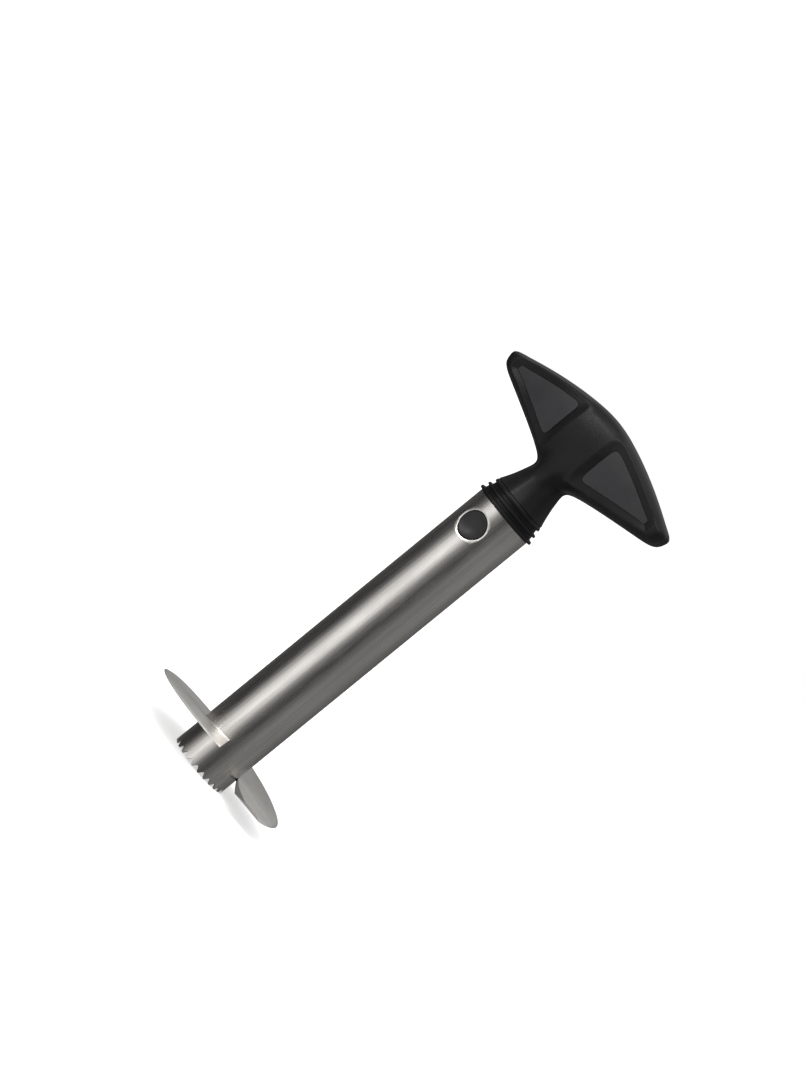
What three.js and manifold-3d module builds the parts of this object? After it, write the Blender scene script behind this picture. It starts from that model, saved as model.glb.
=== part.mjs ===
// A pineapple slicer: a toothed steel tube with a one-turn spiral blade, and a black T-shaped handle that
// lifts off when the two round buttons near the tube's top are pressed together.
// Millimetres, +Z up along the tube, z = 0 at the tooth tips. The wings lie along X, and the buttons face
// -Y and +Y.
import * as THREE from 'three';
import { mergeVertices } from 'three/addons/utils/BufferGeometryUtils.js';
import Module from 'manifold-3d';

const wasm = await Module();
wasm.setup();

// Fits that many pieces share
const seatGap = 0.3;
const weldGap = 0.2;
const cutOverrun = 3;

// Smoothness of round shapes, in sides
const tubeSides = 72;
const roundSides = 36;
const holeSides = 24;
const smallSides = 12;

// Tube
const tubeOuterRadius = 15.9;
const tubeWall = 0.8;
const tubeLength = 180;
const toothCount = 24;
const toothDepth = 2.2;
const toothLand = 0.7;
const toothRoot = 0.5;

// Spiral blade: angles in degrees, measured from +X towards +Y
const bladeRadius = 44;
const bladeThickness = 1;
const bladePitch = 12.5;
const bladeLeadHeight = 8;
const bladeLeadAngle = 332;
const bladeTrailAngle = 653;
const bladeStepAngle = 6;
const bladeRadialSteps = 3;
const bladeEdgeWidth = 2;
const bladeEdgeThickness = 0.4;
const bladeNeckAngle = 374;
const bladeCornerRadius = 30;
const bladeCornerAngle = 335;
const bladeTipAngle = 350;

// Button holes and buttons
const buttonDrop = 13;
const buttonRadius = 6.7;
const buttonHoleGap = 0.4;
const buttonSink = 0.3;
const dishDepth = 1.7;
const dishRadius = 13;
const flangeLip = 1.5;
const flangeThickness = 2;
const flangeReach = 8.9;
const guideRadius = 2.4;
const guideLength = 1.5;

// Button spring
const springRadius = 3.6;
const springWireRadius = 0.4;
const springTurns = 6;
const stepsPerTurn = 8;
const wireSides = 5;

// Latch core: the plug in the tube and its stem in the neck. Heights are measured from the tube's top rim.
const plugDepth = 35;
const plugClearance = 0.3;
const capHeight = 6.7;
const capWall = 1.3;
const capFloor = 1.2;
const shoulderRadius = 10.5;
const stemRadius = 6.8;
const stemTop = 46;
const coreScrewHead = 1.2;
const coreScrewEndWall = 0.8;
const coreScrewShares = { head: 0.31, shank: 0.15 };

// Ribbed collar
const collarHeight = 9.2;
const collarRibs = 3;
const collarLip = 1.4;
const collarRibStep = 1.05;
const collarRibThickness = 1.5;
const collarGrooveDepth = 1.4;

// Neck
const neckBaseStep = 0.5;
const neckWaistRadius = 9.6;
const neckWaistHeight = 30;
const neckTopHeight = 38;
const neckSteps = 10;
const neckBowShares = { radius: 0.12, height: 0.46 };

// Wings
const wingHalfSpan = 58.6;
const wingCrown = 66.5;
const wingFall = 14.9;
const wingFallPower = 1.6;
const wingFloor = 27.6;
const wingRise = 15.7;
const wingFlareDrop = 5;
const wingFlareLength = 8;
const wingHalfDepth = 12.5;
const wingTipHalfDepth = 7;
const wingDepthPower = 1.5;
const wingTipRounding = 3.6;
const wingTipFlat = 0.15;
const wingSections = 18;
const wingSides = 20;
const wingSquareness = 3.6;
const wingWall = 2.2;

// Grip pads in recesses with sloping walls, on both faces of both wings. An outline runs between two
// distances from the middle, a margin inside the wing's edge.
const rimOutline = { inner: 9.8, outer: 53.1, margin: 2.7 };
const padOutline = { inner: 13.8, outer: 49.4, margin: 6.2 };
const outlineSquareness = 4.5;
const outlineSides = 24;
const padSink = 1.3;
const padThickness = 1.5;

// Screws
const wingScrewPlaces = { inner: 19, outer: 34 };
const wingScrewHeight = 48;
const screwRadius = 1.2;
const screwHeadRadius = 2.7;
const screwHeadHeight = 1.8;
const screwSlotWidth = 0.7;
const screwSlotDepth = 1;
const screwSlotShare = 0.65;
const bossRadius = 3.9;
const bossEndWall = 1.4;
const neckScrewHeight = 40;
const neckScrewBiteShare = 0.55;

// Places that follow from the sizes above
const tubeInnerRadius = tubeOuterRadius - tubeWall;
const plugRadius = tubeInnerRadius - plugClearance;
const buttonHeight = tubeLength - buttonDrop;
const buttonHoleRadius = buttonRadius + buttonHoleGap;
const flangeRadius = buttonRadius + flangeLip;
const pocketRadius = flangeRadius + seatGap;
const coreScrewRoom = plugRadius - pocketRadius;
const coreScrewOffset = (plugRadius + pocketRadius) / 2;
const coreScrewHeadRadius = coreScrewShares.head * coreScrewRoom;
const coreScrewRadius = coreScrewShares.shank * coreScrewRoom;
const capTop = capHeight - plugDepth;
const collarRibRadius = tubeOuterRadius + collarLip;
const neckBaseRadius = collarRibRadius - (collarRibs - 1) * collarRibStep - neckBaseStep;
const recessDepth = padSink + padThickness + seatGap;
const stemHoleRadius = stemRadius + seatGap;
const wingColumn = stemHoleRadius + 2 * wingWall;
const neckScrewSeat = stemHoleRadius + wingWall;
const neckScrewEnd = stemHoleRadius + neckScrewBiteShare * (wingHalfDepth - stemHoleRadius);

// Materials
const steel = new THREE.MeshStandardMaterial({ color: 0x9c9892, roughness: 0.34, metalness: 1 });
const bladeSteel = new THREE.MeshStandardMaterial({ color: 0xa5a09a, roughness: 0.42, metalness: 1 });
const springSteel = new THREE.MeshStandardMaterial({ color: 0xb9bbbe, roughness: 0.3, metalness: 1 });
const screwSteel = new THREE.MeshStandardMaterial({ color: 0xc4c6c8, roughness: 0.35, metalness: 1 });
const blackPlastic = new THREE.MeshStandardMaterial({ color: 0x161518, roughness: 0.38, metalness: 0 });
const padRubber = new THREE.MeshStandardMaterial({ color: 0x252527, roughness: 0.62, metalness: 0 });
const corePlastic = new THREE.MeshStandardMaterial({ color: 0x2b2b2e, roughness: 0.5, metalness: 0 });
const buttonPlastic = new THREE.MeshStandardMaterial({ color: 0x1b1b1e, roughness: 0.4, metalness: 0 });

// From a closed three.js geometry to a solid that can be cut and joined
function solid(geometry) {
  const bare = new THREE.BufferGeometry();
  bare.setAttribute('position', geometry.getAttribute('position'));
  bare.setIndex(geometry.getIndex());
  const merged = mergeVertices(bare);
  const vertProperties = merged.getAttribute('position').array;
  const triVerts = new Uint32Array(merged.getIndex().array);
  return new wasm.Manifold(new wasm.Mesh({ numProp: 3, vertProperties, triVerts }));
}

// And back to a geometry, with flat faces
function geometryOf(shape) {
  const { numProp, vertProperties, triVerts } = shape.getMesh();
  const indexed = new THREE.BufferGeometry();
  const positions = new Float32Array(vertProperties.length / numProp * 3);
  for (let i = 0; i < positions.length / 3; i += 1) {
    positions.set(vertProperties.subarray(i * numProp, i * numProp + 3), i * 3);
  }
  indexed.setAttribute('position', new THREE.BufferAttribute(positions, 3));
  indexed.setIndex(new THREE.BufferAttribute(new Uint32Array(triVerts), 1));
  const flat = indexed.toNonIndexed();
  flat.computeVertexNormals();
  return flat;
}

const radians = THREE.MathUtils.degToRad;

// Basic solids
function box(sizeX, sizeY, sizeZ, x, y, z) {
  return solid(new THREE.BoxGeometry(sizeX, sizeY, sizeZ).translate(x, y, z));
}

// A round bar from startY to endY, along Y
function barAlongY(radius, startY, endY, x, z, sides = holeSides) {
  const bar = new THREE.CylinderGeometry(radius, radius, endY - startY, sides);
  return solid(bar.translate(x, (startY + endY) / 2, z));
}

// A ring or disc turned about Z from a closed outline of [radius, z] pairs
function turned(outline, sides) {
  const points = outline.map(([radius, z]) => new THREE.Vector2(radius, z));
  points.push(points[0].clone());
  return solid(new THREE.LatheGeometry(points, sides).rotateX(Math.PI / 2));
}

// A prism with an outline of [x, y] pairs in plan, from low to high
function uprightPrism(outline, low, high) {
  const shape = new THREE.Shape(outline.map(([x, y]) => new THREE.Vector2(x, y)));
  const prism = new THREE.ExtrudeGeometry(shape, { depth: high - low, bevelEnabled: false, steps: 1 });
  return solid(prism.translate(0, 0, low));
}

// A prism with an outline of [x, z] pairs seen from the front, from frontY to backY
function frontPrism(outline, frontY, backY) {
  const shape = new THREE.Shape(outline.map(([x, z]) => new THREE.Vector2(x, z)));
  const prism = new THREE.ExtrudeGeometry(shape, { depth: backY - frontY, bevelEnabled: false, steps: 1 });
  return solid(prism.rotateX(Math.PI / 2).translate(0, backY, 0));
}

// The point at an angle on a squared circle of half-width 1
function squaredCircle(angle, squareness) {
  const c = Math.cos(angle);
  const s = Math.sin(angle);
  const across = Math.sign(c) * Math.abs(c) ** (2 / squareness);
  const up = Math.sign(s) * Math.abs(s) ** (2 / squareness);
  return [across, up];
}

// Tube
function makeTube() {
  const wall = [
    [tubeInnerRadius, 0],
    [tubeOuterRadius, 0],
    [tubeOuterRadius, tubeLength],
    [tubeInnerRadius, tubeLength],
  ];
  let tube = turned(wall, tubeSides);
  const toothPitch = 2 * Math.PI * tubeOuterRadius / toothCount;
  const notchHalf = (toothPitch - toothLand) / 2;
  const slope = (notchHalf - toothRoot / 2) / toothDepth;
  const notch = [
    [-notchHalf - slope * cutOverrun, -cutOverrun],
    [notchHalf + slope * cutOverrun, -cutOverrun],
    [toothRoot / 2, toothDepth],
    [-toothRoot / 2, toothDepth],
  ];
  for (let i = 0; i < toothCount; i += 1) {
    const cutter = frontPrism(notch, tubeInnerRadius - cutOverrun, tubeOuterRadius + cutOverrun);
    tube = tube.subtract(cutter.rotate(0, 0, 360 * (i + 0.5) / toothCount));
  }
  const reach = tubeOuterRadius + cutOverrun;
  return tube.subtract(barAlongY(buttonHoleRadius, -reach, reach, 0, buttonHeight));
}

// Spiral blade: a flat ring sheet wound up one turn, thinned at its outer edge. Its leading end is cut away
// beside the tube, so that an outer corner goes ahead.
function bladeHeightAt(angle) {
  return bladeLeadHeight + bladePitch * (angle - bladeLeadAngle) / 360;
}

function makeBlade() {
  const innerRadius = tubeOuterRadius + weldGap;
  const sweep = bladeTrailAngle - bladeLeadAngle;
  const turnSteps = Math.round(sweep / bladeStepAngle);
  const sheet = new THREE.BoxGeometry(1, 1, 1, bladeRadialSteps, turnSteps, 1);
  const position = sheet.getAttribute('position');
  const edgeStart = bladeRadius - bladeEdgeWidth;
  for (let i = 0; i < position.count; i += 1) {
    const step = Math.round((position.getX(i) + 0.5) * bladeRadialSteps);
    const onRim = step === bladeRadialSteps;
    const share = step / (bladeRadialSteps - 1);
    const radius = onRim ? bladeRadius : innerRadius + (edgeStart - innerRadius) * share;
    const angle = bladeLeadAngle + sweep * (position.getY(i) + 0.5);
    const thickness = onRim ? bladeEdgeThickness : bladeThickness;
    const z = bladeHeightAt(angle) + thickness * (position.getZ(i) + 0.5);
    const turn = radians(angle);
    position.setXYZ(i, radius * Math.cos(turn), radius * Math.sin(turn), z);
  }
  const planPoint = (radius, angle) => {
    const turn = radians(angle);
    return [radius * Math.cos(turn), radius * Math.sin(turn)];
  };
  const away = bladeRadius + cutOverrun;
  const cutAway = [
    planPoint(tubeInnerRadius, bladeNeckAngle),
    planPoint(tubeInnerRadius, bladeTrailAngle - 360),
    planPoint(away, bladeTrailAngle - 360),
    planPoint(away, bladeLeadAngle),
    planPoint(away, bladeTipAngle),
    planPoint(bladeRadius, bladeTipAngle),
    planPoint(bladeCornerRadius, bladeCornerAngle),
    planPoint(innerRadius, bladeNeckAngle),
  ];
  const low = bladeLeadHeight - cutOverrun;
  const high = bladeLeadHeight + bladePitch / 2;
  return solid(sheet).subtract(uprightPrism(cutAway, low, high));
}

// Ribbed collar on the tube's rim, with a plain bore round the latch core
function makeCollar() {
  const bottom = tubeLength + seatGap;
  const top = tubeLength + collarHeight;
  const ribPitch = (top - bottom - collarRibThickness) / (collarRibs - 1);
  const outline = [];
  for (let i = 0; i < collarRibs; i += 1) {
    const ribRadius = collarRibRadius - i * collarRibStep;
    const ribBottom = bottom + i * ribPitch;
    const grooveRadius = ribRadius - collarGrooveDepth;
    outline.push([ribRadius, ribBottom]);
    outline.push([ribRadius, ribBottom + collarRibThickness]);
    if (i < collarRibs - 1) {
      outline.push([grooveRadius, ribBottom + collarRibThickness + seatGap]);
      outline.push([grooveRadius, ribBottom + ribPitch - seatGap]);
    }
  }
  const boreRadius = shoulderRadius + seatGap;
  outline.push([boreRadius, top]);
  outline.push([boreRadius, bottom]);
  return turned(outline, roundSides);
}

// Latch core: two halves, parted at y = 0
function coreBody() {
  const outline = [
    [0, tubeLength - plugDepth + capFloor + seatGap],
    [plugRadius - capWall - seatGap, tubeLength - plugDepth + capFloor + seatGap],
    [plugRadius - capWall - seatGap, tubeLength + capTop + seatGap],
    [plugRadius, tubeLength + capTop + seatGap],
    [plugRadius, tubeLength],
    [shoulderRadius, tubeLength],
    [shoulderRadius, tubeLength + collarHeight],
    [stemRadius, tubeLength + collarHeight],
    [stemRadius, tubeLength + stemTop],
    [0, tubeLength + stemTop],
  ];
  const reach = plugRadius + cutOverrun;
  const step = flangeReach + seatGap;
  const bore = barAlongY(buttonRadius + seatGap, -reach, reach, 0, buttonHeight);
  const pocket = barAlongY(pocketRadius, -step, step, 0, buttonHeight);
  let body = turned(outline, roundSides).subtract(bore).subtract(pocket);
  for (const side of [-1, 1]) {
    body = body.subtract(coreScrewHole(side));
  }
  const neckHoleHeight = tubeLength + neckScrewHeight;
  return body.subtract(barAlongY(screwRadius + seatGap, -reach, reach, 0, neckHoleHeight, smallSides));
}

// The latch core's screws lie beside the bore, with their heads at the back
function coreScrewHeadEnd() {
  return Math.sqrt(plugRadius ** 2 - (coreScrewOffset + coreScrewHeadRadius) ** 2);
}

// Their holes end inside the front half, a wall short of its round side
function coreScrewHoleEnd() {
  const holeEdge = coreScrewOffset + coreScrewRadius + seatGap;
  return coreScrewEndWall - Math.sqrt(plugRadius ** 2 - holeEdge ** 2);
}

function coreScrewHole(side) {
  const x = side * coreScrewOffset;
  const headEnd = coreScrewHeadEnd();
  const seat = headEnd - coreScrewHead - seatGap;
  const shankRadius = coreScrewRadius + seatGap;
  const headRadius = coreScrewHeadRadius + seatGap;
  const shank = barAlongY(shankRadius, coreScrewHoleEnd(), headEnd, x, buttonHeight, smallSides);
  const head = barAlongY(headRadius, seat, plugRadius + cutOverrun, x, buttonHeight, smallSides);
  return shank.add(head);
}

function halfSpace(side) {
  const size = 2 * (wingHalfSpan + plugDepth + tubeLength);
  return box(size, size, size, 0, side * (size / 2 + seatGap / 2), 0);
}

function makeEndCap() {
  const bottom = tubeLength - plugDepth;
  const outline = [
    [0, bottom],
    [plugRadius, bottom],
    [plugRadius, tubeLength + capTop],
    [plugRadius - capWall, tubeLength + capTop],
    [plugRadius - capWall, bottom + capFloor],
    [0, bottom + capFloor],
  ];
  return turned(outline, roundSides);
}

// A button on the -Y side: a dished face flush with the tube, a flange that keeps it in, and a guide for
// the spring
function makeButton(side) {
  const face = tubeOuterRadius - buttonSink;
  const tubeRound = turned([
    [0, buttonHeight - tubeOuterRadius],
    [face, buttonHeight - tubeOuterRadius],
    [face, buttonHeight + tubeOuterRadius],
    [0, buttonHeight + tubeOuterRadius],
  ], tubeSides);
  const flangeInner = flangeReach - flangeThickness;
  const pusher = barAlongY(buttonRadius, -face - cutOverrun, -flangeInner, 0, buttonHeight, roundSides);
  const dish = new THREE.SphereGeometry(dishRadius, holeSides, holeSides / 2);
  dish.rotateX(Math.PI / 2).translate(0, -face - dishRadius + dishDepth, buttonHeight);
  const flange = barAlongY(flangeRadius, -flangeReach, -flangeInner, 0, buttonHeight);
  const guide = barAlongY(guideRadius, -flangeReach, guideLength - flangeInner, 0, buttonHeight);
  const button = pusher.intersect(tubeRound).subtract(solid(dish)).add(flange).add(guide);
  return side < 0 ? button : button.rotate(0, 0, 180);
}

// Button spring, wound along Y between the two flanges
class Coil extends THREE.Curve {
  constructor(radius, length, turns) {
    super();
    this.radius = radius;
    this.length = length;
    this.turns = turns;
  }

  getPoint(share, target = new THREE.Vector3()) {
    const turn = 2 * Math.PI * this.turns * share;
    const along = this.length * (share - 0.5);
    return target.set(this.radius * Math.cos(turn), along, this.radius * Math.sin(turn));
  }
}

function makeSpring() {
  const length = 2 * (flangeReach - flangeThickness - seatGap - springWireRadius);
  const coil = new Coil(springRadius, length, springTurns);
  const section = new THREE.Shape();
  for (let i = 0; i < wireSides; i += 1) {
    const angle = 2 * Math.PI * i / wireSides;
    const x = springWireRadius * Math.cos(angle);
    const y = springWireRadius * Math.sin(angle);
    if (i === 0) {
      section.moveTo(x, y);
    } else {
      section.lineTo(x, y);
    }
  }
  section.closePath();
  const wire = new THREE.ExtrudeGeometry(section, {
    steps: springTurns * stepsPerTurn,
    extrudePath: coil,
    bevelEnabled: false,
  });
  return solid(wire.translate(0, 0, buttonHeight));
}

// Wings: a squared oval section swept along X. inset draws the whole body in, and sunk only its front and
// back faces.
function wingTopAt(x) {
  return wingCrown - wingFall * (Math.abs(x) / wingHalfSpan) ** wingFallPower;
}

function wingBottomAt(x) {
  const share = Math.abs(x) / wingHalfSpan;
  return wingFloor + wingRise * share - wingFlareDrop * Math.exp(-Math.abs(x) / wingFlareLength);
}

function wingHalfDepthAt(x) {
  return wingHalfDepth - (wingHalfDepth - wingTipHalfDepth) * (Math.abs(x) / wingHalfSpan) ** wingDepthPower;
}

// How far the section draws in near a tip, to round it
function tipInset(x) {
  const fromTip = Math.min(wingHalfSpan - Math.abs(x), wingTipRounding);
  return wingTipRounding - Math.sqrt(wingTipRounding ** 2 - (wingTipRounding - fromTip) ** 2);
}

function wingBody(inset, sunk = 0) {
  const bar = new THREE.CylinderGeometry(1, 1, 1, wingSides, wingSections).rotateZ(Math.PI / 2);
  const position = bar.getAttribute('position');
  const half = wingHalfSpan - inset;
  for (let i = 0; i < position.count; i += 1) {
    const nominalX = wingHalfSpan * Math.sin(Math.PI * position.getX(i));
    const x = half * Math.sin(Math.PI * position.getX(i));
    const out = Math.hypot(position.getY(i), position.getZ(i));
    const angle = Math.atan2(position.getZ(i), position.getY(i));
    const [across, up] = out > 0.5 ? squaredCircle(angle, wingSquareness) : [0, 0];
    const drawn = inset + tipInset(nominalX);
    const middle = (wingTopAt(nominalX) + wingBottomAt(nominalX)) / 2;
    const halfHeight = Math.max((wingTopAt(nominalX) - wingBottomAt(nominalX)) / 2 - drawn, wingTipFlat);
    const halfDepth = Math.max(wingHalfDepthAt(nominalX) - drawn - sunk, wingTipFlat);
    position.setXYZ(i, x, halfDepth * across, tubeLength + middle + halfHeight * up);
  }
  return solid(bar);
}

function makeNeck() {
  const base = tubeLength + collarHeight + seatGap;
  const waist = tubeLength + neckWaistHeight;
  const bow = new THREE.QuadraticBezierCurve(
    new THREE.Vector2(neckBaseRadius, base),
    new THREE.Vector2(
      neckWaistRadius + neckBowShares.radius * (neckBaseRadius - neckWaistRadius),
      base + neckBowShares.height * (waist - base),
    ),
    new THREE.Vector2(neckWaistRadius, waist),
  );
  const outline = [[0, base], ...bow.getPoints(neckSteps).map((p) => [p.x, p.y])];
  outline.push([neckWaistRadius, tubeLength + neckTopHeight]);
  outline.push([0, tubeLength + neckTopHeight]);
  return turned(outline, roundSides);
}

// A point of an outline on the +X wing, as [x, height]. grow makes the outline larger all round.
function outlinePoint(outline, grow, angle) {
  const middleX = (outline.inner + outline.outer) / 2;
  const halfX = (outline.outer - outline.inner) / 2 + grow;
  const [across, up] = squaredCircle(angle, outlineSquareness);
  const x = middleX + halfX * across;
  const low = wingBottomAt(x) + outline.margin - grow;
  const high = wingTopAt(x) - outline.margin + grow;
  return [x, (low + high) / 2 + up * (high - low) / 2];
}

function padPrism(side, grow, frontY, backY) {
  const points = [];
  for (let i = 0; i < outlineSides; i += 1) {
    const [x, height] = outlinePoint(padOutline, grow, 2 * Math.PI * i / outlineSides);
    points.push([side * x, tubeLength + height]);
  }
  return frontPrism(side < 0 ? points.reverse() : points, frontY, backY);
}

// The wall of the wings' face between two depths, inside a pad's outline
function padLayer(side, face, grow, outerSunk, innerSunk) {
  const reach = wingHalfDepth + cutOverrun;
  const column = padPrism(side, grow, face < 0 ? -reach : 0, face < 0 ? 0 : reach);
  const outer = outerSunk === 0 ? column : column.intersect(wingBody(0, outerSunk));
  return outer.subtract(wingBody(0, innerSunk));
}

// How far out the wings' faces are at a distance from the middle and a height
function wingFaceAt(x, height) {
  const middle = (wingTopAt(x) + wingBottomAt(x)) / 2;
  const share = Math.abs(height - middle) / (wingTopAt(x) - wingBottomAt(x)) * 2;
  return wingHalfDepthAt(x) * (1 - share ** wingSquareness) ** (1 / wingSquareness);
}

// What the sloping walls of a recess enclose: from the rim on the wing's face down to the pad's outline
function recessFunnel(side, face) {
  const plug = new THREE.CylinderGeometry(1, 1, 1, outlineSides, 2);
  const position = plug.getAttribute('position');
  for (let i = 0; i < position.count; i += 1) {
    const level = position.getY(i);
    const outline = level < 0 ? padOutline : rimOutline;
    const angle = Math.atan2(position.getZ(i), position.getX(i));
    const onAxis = Math.hypot(position.getX(i), position.getZ(i)) < 0.5;
    const [x, height] = onAxis
      ? [(outline.inner + outline.outer) / 2, wingScrewHeight]
      : outlinePoint(outline, seatGap, angle);
    const sunk = level < 0 ? padSink : 0;
    const y = level > 0 ? wingHalfDepth + cutOverrun : wingFaceAt(x, height) - sunk;
    position.setXYZ(i, x, y, tubeLength + height);
  }
  let funnel = solid(plug);
  funnel = side < 0 ? funnel.mirror([1, 0, 0]) : funnel;
  return face < 0 ? funnel.mirror([0, 1, 0]) : funnel;
}

function makePad(side, face) {
  return padLayer(side, face, -seatGap, padSink, padSink + padThickness);
}

function recessFloorAt(x) {
  return wingHalfDepthAt(x) - recessDepth;
}

const wingScrews = [];
for (const [sideName, side] of [['left', -1], ['right', 1]]) {
  for (const [placeName, place] of Object.entries(wingScrewPlaces)) {
    const floor = recessFloorAt(place + screwHeadRadius);
    const seat = floor - screwHeadHeight - seatGap;
    const end = bossEndWall - floor;
    wingScrews.push({ name: `wing_screw_${sideName}_${placeName}`, x: side * place, seat, end });
  }
}

// The whole handle body, before it is parted in two
function makeHandleBody() {
  const size = 2 * (wingHalfSpan + tubeLength);
  const column = box(2 * wingColumn, size, size, 0, 0, 0);
  let hollow = wingBody(wingWall).subtract(column);
  let body = wingBody(0).add(makeNeck());
  for (const side of [-1, 1]) {
    for (const face of [-1, 1]) {
      hollow = hollow.subtract(padLayer(side, face, wingWall, 0, recessDepth + wingWall));
      body = body.subtract(padLayer(side, face, 0, 0, recessDepth));
      body = body.subtract(recessFunnel(side, face));
    }
  }
  for (const screw of wingScrews) {
    const z = tubeLength + wingScrewHeight;
    hollow = hollow.subtract(barAlongY(bossRadius, -wingHalfDepth, wingHalfDepth, screw.x, z));
  }
  const stemHole = turned([
    [0, tubeLength],
    [stemHoleRadius, tubeLength],
    [stemHoleRadius, tubeLength + stemTop + seatGap],
    [0, tubeLength + stemTop + seatGap],
  ], roundSides);
  return body.subtract(hollow).subtract(stemHole);
}

const handleBody = makeHandleBody();

function makeFrontShell() {
  const holeRadius = screwRadius + seatGap;
  const pilotHole = (end, x, z) => barAlongY(holeRadius, end - seatGap, cutOverrun, x, z, smallSides);
  let shell = handleBody.intersect(halfSpace(-1));
  for (const screw of wingScrews) {
    shell = shell.subtract(pilotHole(screw.end, screw.x, tubeLength + wingScrewHeight));
  }
  return shell.subtract(pilotHole(-neckScrewEnd, 0, tubeLength + neckScrewHeight));
}

// A stepped hole for a screw whose head goes in from the back
function steppedHole(seat, x, z) {
  const back = wingHalfDepth + cutOverrun;
  const shank = barAlongY(screwRadius + seatGap, -cutOverrun, back, x, z, smallSides);
  const head = barAlongY(screwHeadRadius + seatGap, seat, back, x, z);
  return shank.add(head);
}

function makeRearShell() {
  let shell = handleBody.intersect(halfSpace(1));
  for (const screw of wingScrews) {
    shell = shell.subtract(steppedHole(screw.seat, screw.x, tubeLength + wingScrewHeight));
  }
  return shell.subtract(steppedHole(neckScrewSeat, 0, tubeLength + neckScrewHeight));
}

// A screw along Y: its head rests at seat, a gap clear of it, and its point is at end
function makeScrew(radius, headRadius, headHeight, seat, end, x, z) {
  const headBottom = seat + seatGap;
  const headTop = headBottom + headHeight;
  const shank = barAlongY(radius, end, headBottom + headHeight / 2, x, z, smallSides);
  const head = barAlongY(headRadius, headBottom, headTop, x, z, holeSides);
  let screw = shank.add(head);
  const slotDepth = Math.min(screwSlotDepth, headHeight / 2);
  for (const turn of [0, 90]) {
    const slot = box(2 * screwSlotShare * headRadius, 2 * slotDepth, screwSlotWidth, 0, 0, 0);
    screw = screw.subtract(slot.rotate(0, turn, 0).translate(x, headTop, z));
  }
  return screw;
}

// The assembly
const slicer = new THREE.Group();

function addPiece(name, shape, material) {
  const mesh = new THREE.Mesh(geometryOf(shape), material);
  mesh.name = name;
  slicer.add(mesh);
}

addPiece('core_tube', makeTube(), steel);
addPiece('spiral_blade', makeBlade(), bladeSteel);
addPiece('ribbed_collar', makeCollar(), blackPlastic);
const core = coreBody();
addPiece('latch_core_front', core.intersect(halfSpace(-1)), corePlastic);
addPiece('latch_core_rear', core.intersect(halfSpace(1)), corePlastic);
addPiece('latch_end_cap', makeEndCap(), corePlastic);
addPiece('front_button', makeButton(-1), buttonPlastic);
addPiece('rear_button', makeButton(1), buttonPlastic);
addPiece('button_spring', makeSpring(), springSteel);
addPiece('handle_front_shell', makeFrontShell(), blackPlastic);
addPiece('handle_rear_shell', makeRearShell(), blackPlastic);
for (const [sideName, side] of [['left', -1], ['right', 1]]) {
  addPiece(`front_${sideName}_pad`, makePad(side, -1), padRubber);
  addPiece(`rear_${sideName}_pad`, makePad(side, 1), padRubber);
  const headEnd = coreScrewHeadEnd();
  const seat = headEnd - coreScrewHead - seatGap;
  const end = coreScrewHoleEnd() + seatGap;
  const x = side * coreScrewOffset;
  const screw = makeScrew(coreScrewRadius, coreScrewHeadRadius, coreScrewHead, seat, end, x, buttonHeight);
  addPiece(`latch_screw_${sideName}`, screw, screwSteel);
}
for (const { name, x, seat, end } of wingScrews) {
  const z = tubeLength + wingScrewHeight;
  addPiece(name, makeScrew(screwRadius, screwHeadRadius, screwHeadHeight, seat, end, x, z), screwSteel);
}
const neckScrew = makeScrew(
  screwRadius,
  screwHeadRadius,
  screwHeadHeight,
  neckScrewSeat,
  -neckScrewEnd,
  0,
  tubeLength + neckScrewHeight,
);
addPiece('neck_screw', neckScrew, screwSteel);

export default slicer;
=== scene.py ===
import math

import bmesh
import bpy
from mathutils import Matrix, Vector


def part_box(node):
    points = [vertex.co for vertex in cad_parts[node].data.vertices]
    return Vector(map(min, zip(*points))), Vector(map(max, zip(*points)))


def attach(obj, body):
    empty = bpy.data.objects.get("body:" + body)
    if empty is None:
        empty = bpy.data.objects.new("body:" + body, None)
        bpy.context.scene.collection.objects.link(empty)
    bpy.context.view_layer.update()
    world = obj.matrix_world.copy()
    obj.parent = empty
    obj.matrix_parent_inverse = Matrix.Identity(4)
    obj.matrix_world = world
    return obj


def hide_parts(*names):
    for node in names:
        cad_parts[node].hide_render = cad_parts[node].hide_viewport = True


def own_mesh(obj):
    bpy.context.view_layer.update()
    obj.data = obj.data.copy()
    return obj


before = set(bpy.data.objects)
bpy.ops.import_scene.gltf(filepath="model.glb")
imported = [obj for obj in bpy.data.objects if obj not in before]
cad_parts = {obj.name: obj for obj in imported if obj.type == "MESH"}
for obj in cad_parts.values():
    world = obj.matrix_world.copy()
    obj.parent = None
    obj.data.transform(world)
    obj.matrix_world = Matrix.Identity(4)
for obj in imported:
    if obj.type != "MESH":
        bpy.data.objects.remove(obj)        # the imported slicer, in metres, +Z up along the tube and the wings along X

# Settings are in millimetres and degrees, and mm turns them into metres
mm = 0.001
hair = 0.01 * mm         # places closer than this count as one
turn = 2 * math.pi
cornerShare = 0.3        # how far a rounded corner's middle lies in from its sides, as a share of its radius
pastAll = 20             # how far the bars that cut bores reach from the tube's axis
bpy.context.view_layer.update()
tubeLow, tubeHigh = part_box("core_tube")
tubeRadius = tubeHigh.x
tubeTop = tubeHigh.z


# Bench habits: one object at a time, one kind of selection at a time

def objectMode():
    if bpy.context.mode != "OBJECT":
        bpy.ops.object.mode_set(mode="OBJECT")


def selectOnly(piece):
    objectMode()
    bpy.ops.object.select_all(action="DESELECT")
    piece.select_set(True)
    bpy.context.view_layer.objects.active = piece


def edit(piece):
    selectOnly(piece)
    bpy.ops.object.mode_set(mode="EDIT")


def selectAll():
    bpy.ops.mesh.select_all(action="SELECT")


def clearSelection():
    objectMode()
    bpy.ops.object.select_all(action="DESELECT")


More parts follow.
